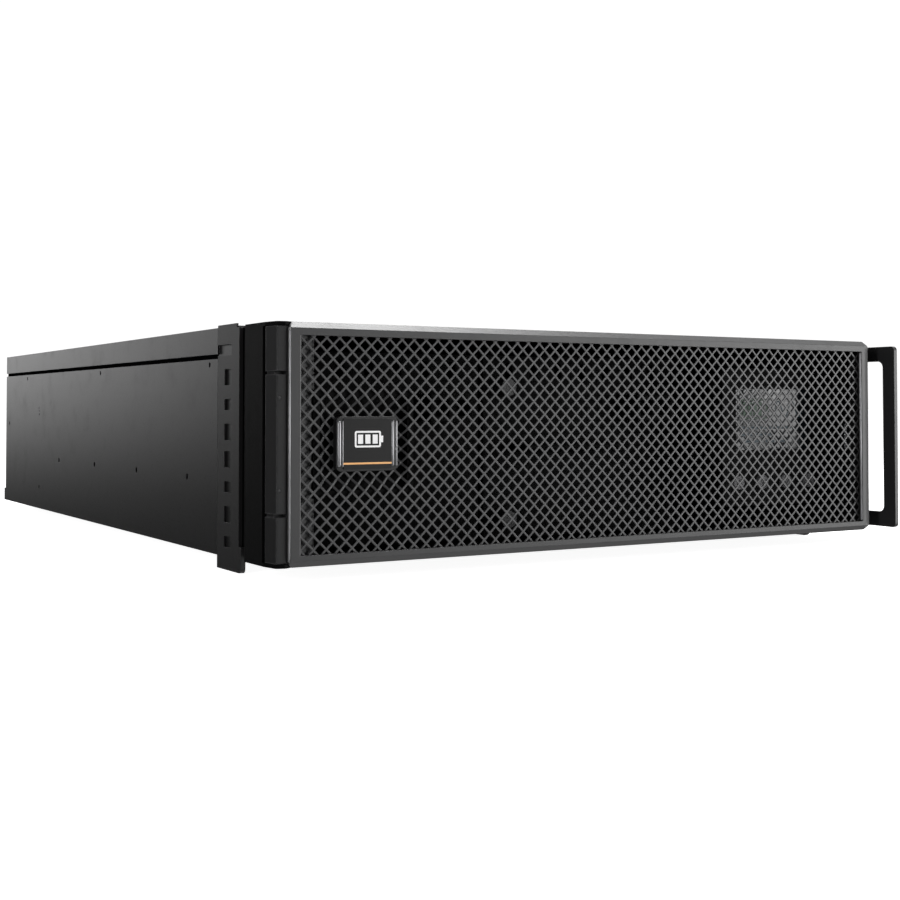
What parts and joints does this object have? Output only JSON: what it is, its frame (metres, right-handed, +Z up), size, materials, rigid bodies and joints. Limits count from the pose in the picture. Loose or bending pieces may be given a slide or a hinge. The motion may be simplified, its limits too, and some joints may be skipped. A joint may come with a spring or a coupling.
{
  "type": "uninterruptible power supply",
  "caption": "Low rack-mount uninterruptible power supply with a hinged diamond-mesh front door, a turning square badge, a side handle and a rear socket panel.",
  "frame": {"origin": "centre of the whole object's footprint, on the plane of the feet", "axes": "+Y from the mesh door to the rear sockets, +X to the handle side, +Z up"},
  "size_m": [0.467, 0.6736, 0.1424],
  "materials": {
    "bezel_plastic": "fine-textured moulded black plastic",
    "mesh_black": "satin black stamped mesh",
    "badge_plastic": "satin dark grey",
    "badge_gloss": "smooth dark grey insert",
    "accent_gold": "amber line",
    "mark_white": "printed white",
    "zinc_steel": "bright zinc plated",
    "magnet_dark": "dark sintered",
    "handle_paint": "satin black powder coat",
    "screw_black": "black oxide",
    "powder_coat": "fine black powder coat",
    "foot_rubber": "matt rubber",
    "galvanised": "galvanised sheet",
    "battery_case": "moulded battery case",
    "copper": "tinned copper and brass",
    "plug_grey": "grey connector shell",
    "screen_glass": "dark display glass",
    "fan_plastic": "glass-filled black plastic",
    "socket_plastic": "black socket plastic",
    "board_green": "solder-masked circuit board",
    "fin_aluminium": "extruded fins",
    "capacitor_sleeve": "shrink sleeve",
    "lead_red": "insulated lead",
    "key_grey": "moulded key",
    "toggle_black": "moulded lever"
  },
  "bodies": {
    "chassis": {"hinge_pin": "zinc_steel", "door_magnet": "magnet_dark", "front_housing": "bezel_plastic", "rack_handle": "handle_paint", "chassis_tray": "powder_coat", "top_cover": "powder_coat", "seam_gasket": "foot_rubber", "chassis_screws": "screw_black", "front_post_left": "powder_coat", "front_post_right": "powder_coat", "rubber_feet": "foot_rubber", "rear_panel": "powder_coat", "mid_bulkhead": "powder_coat", "bay_divider": "powder_coat", "battery_trays": "powder_coat", "battery_blocks": "battery_case", "battery_links": "copper", "battery_plugs": "plug_grey", "tray_pulls": "screw_black", "tray_thumbscrews": "zinc_steel", "control_panel": "bezel_plastic", "display_screen": "screen_glass", "fan_frames": "fan_plastic", "fan_guards": "zinc_steel", "breaker_bodies": "fan_plastic", "outlet_sockets": "socket_plastic", "terminal_cover": "powder_coat", "terminal_block": "socket_plastic", "rear_screws": "zinc_steel", "port_panel": "galvanised", "slot_cover": "powder_coat", "ground_stud": "copper", "power_board": "board_green", "heatsinks": "fin_aluminium", "bus_capacitors": "capacitor_sleeve", "chokes": "copper", "transformer": "magnet_dark", "control_board": "board_green", "board_posts": "zinc_steel", "battery_leads": "lead_red"},
    "door": {"door_frame": "bezel_plastic", "door_mesh": "mesh_black", "badge_recess": "bezel_plastic", "hinge_rail": "bezel_plastic", "grip_cover": "bezel_plastic", "rail_screws": "screw_black", "door_striker": "zinc_steel"},
    "badge": {"badge_body": "badge_plastic", "badge_clip": "zinc_steel", "badge_face": "badge_gloss", "badge_stripe": "accent_gold", "badge_symbol": "mark_white"},
    "button_up": {"button_up": "key_grey"},
    "button_down": {"button_down": "key_grey"},
    "button_enter": {"button_enter": "key_grey"},
    "button_escape": {"button_escape": "key_grey"},
    "fan_rotor_left": {"fan_rotor_left": "fan_plastic"},
    "fan_rotor_right": {"fan_rotor_right": "fan_plastic"},
    "input_breaker_toggle": {"input_breaker_toggle": "toggle_black"},
    "battery_breaker_toggle": {"battery_breaker_toggle": "toggle_black"}
  },
  "joints": [
    {"name": "door_swing", "type": "hinge", "parent": "chassis", "child": "door", "pos_m": [-0.2293, -0.31705, 0.0744], "axis": [0, 0, -1], "range_deg": [0, 110]},
    {"name": "badge_turn", "type": "hinge", "parent": "door", "child": "badge", "pos_m": [-0.1784, -0.32305, 0.0742], "axis": [0, 1, 0], "range_deg": [0, 90]},
    {"name": "fan_spin_left", "type": "hinge", "parent": "chassis", "child": "fan_rotor_left", "pos_m": [-0.1735, 0.30035, 0.0748], "axis": [0, 1, 0], "continuous": true},
    {"name": "fan_spin_right", "type": "hinge", "parent": "chassis", "child": "fan_rotor_right", "pos_m": [-0.0875, 0.30035, 0.0748], "axis": [0, 1, 0], "continuous": true},
    {"name": "input_breaker_throw", "type": "hinge", "parent": "chassis", "child": "input_breaker_toggle", "pos_m": [-0.0255, 0.31015, 0.0968], "axis": [1, 0, 0], "range_deg": [-36, 0]},
    {"name": "battery_breaker_throw", "type": "hinge", "parent": "chassis", "child": "battery_breaker_toggle", "pos_m": [0.0085, 0.31015, 0.0968], "axis": [1, 0, 0], "range_deg": [-36, 0]},
    {"name": "press_up", "type": "slide", "parent": "chassis", "child": "button_up", "axis": [0, 1, 0], "range_m": [0, 0.0008], "stiffness_N_per_m": 900},
    {"name": "press_down", "type": "slide", "parent": "chassis", "child": "button_down", "axis": [0, 1, 0], "range_m": [0, 0.0008], "stiffness_N_per_m": 900},
    {"name": "press_enter", "type": "slide", "parent": "chassis", "child": "button_enter", "axis": [0, 1, 0], "range_m": [0, 0.0008], "stiffness_N_per_m": 900},
    {"name": "press_escape", "type": "slide", "parent": "chassis", "child": "button_escape", "axis": [0, 1, 0], "range_m": [0, 0.0008], "stiffness_N_per_m": 900}
  ]
}
